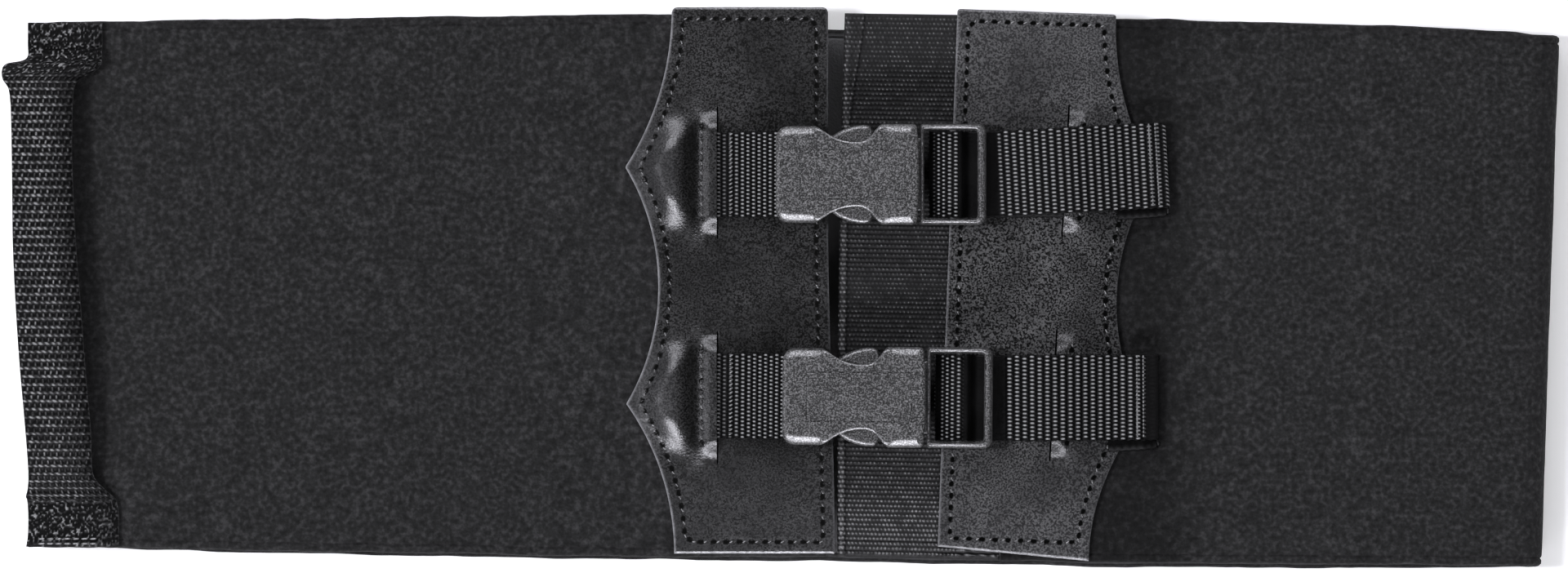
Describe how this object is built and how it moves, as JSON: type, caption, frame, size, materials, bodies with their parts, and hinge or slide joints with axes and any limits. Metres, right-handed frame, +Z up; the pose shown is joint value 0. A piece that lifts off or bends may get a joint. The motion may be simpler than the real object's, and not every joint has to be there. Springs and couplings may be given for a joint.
{
  "type": "kidney belt",
  "caption": "Padded kidney belt, fastened and laid flat as a closed loop, with leather patches, webbing, side release buckles, an elastic front panel and a hand loop.",
  "frame": {"origin": "middle of the underside of the belt's box, on the surface that the belt lies on", "axes": "+X along the belt towards the plain folded end, +Y up the belt's height as worn, +Z up from the surface, the way the closure faces"},
  "size_m": [0.4542, 0.1638, 0.0307],
  "materials": {
    "cloth": "brushed velour, mottled black",
    "elastic": "ribbed woven elastic, black",
    "leather": "fine grained, satin, worn at the cut edges",
    "webbing": "ribbed woven webbing with a slight shine",
    "plastic": "satin moulded plastic"
  },
  "bodies": {
    "root": {"main_band": "cloth", "left_flap": "cloth", "stretch_panel": "elastic", "left_patch": "leather", "right_patch": "leather", "upper_short_strap": "webbing", "upper_buckle_socket": "plastic", "upper_buckle_plug": "plastic", "upper_long_strap": "webbing", "lower_short_strap": "webbing", "lower_buckle_socket": "plastic", "lower_buckle_plug": "plastic", "lower_long_strap": "webbing", "hand_loop": "webbing"}
  },
  "joints": []
}
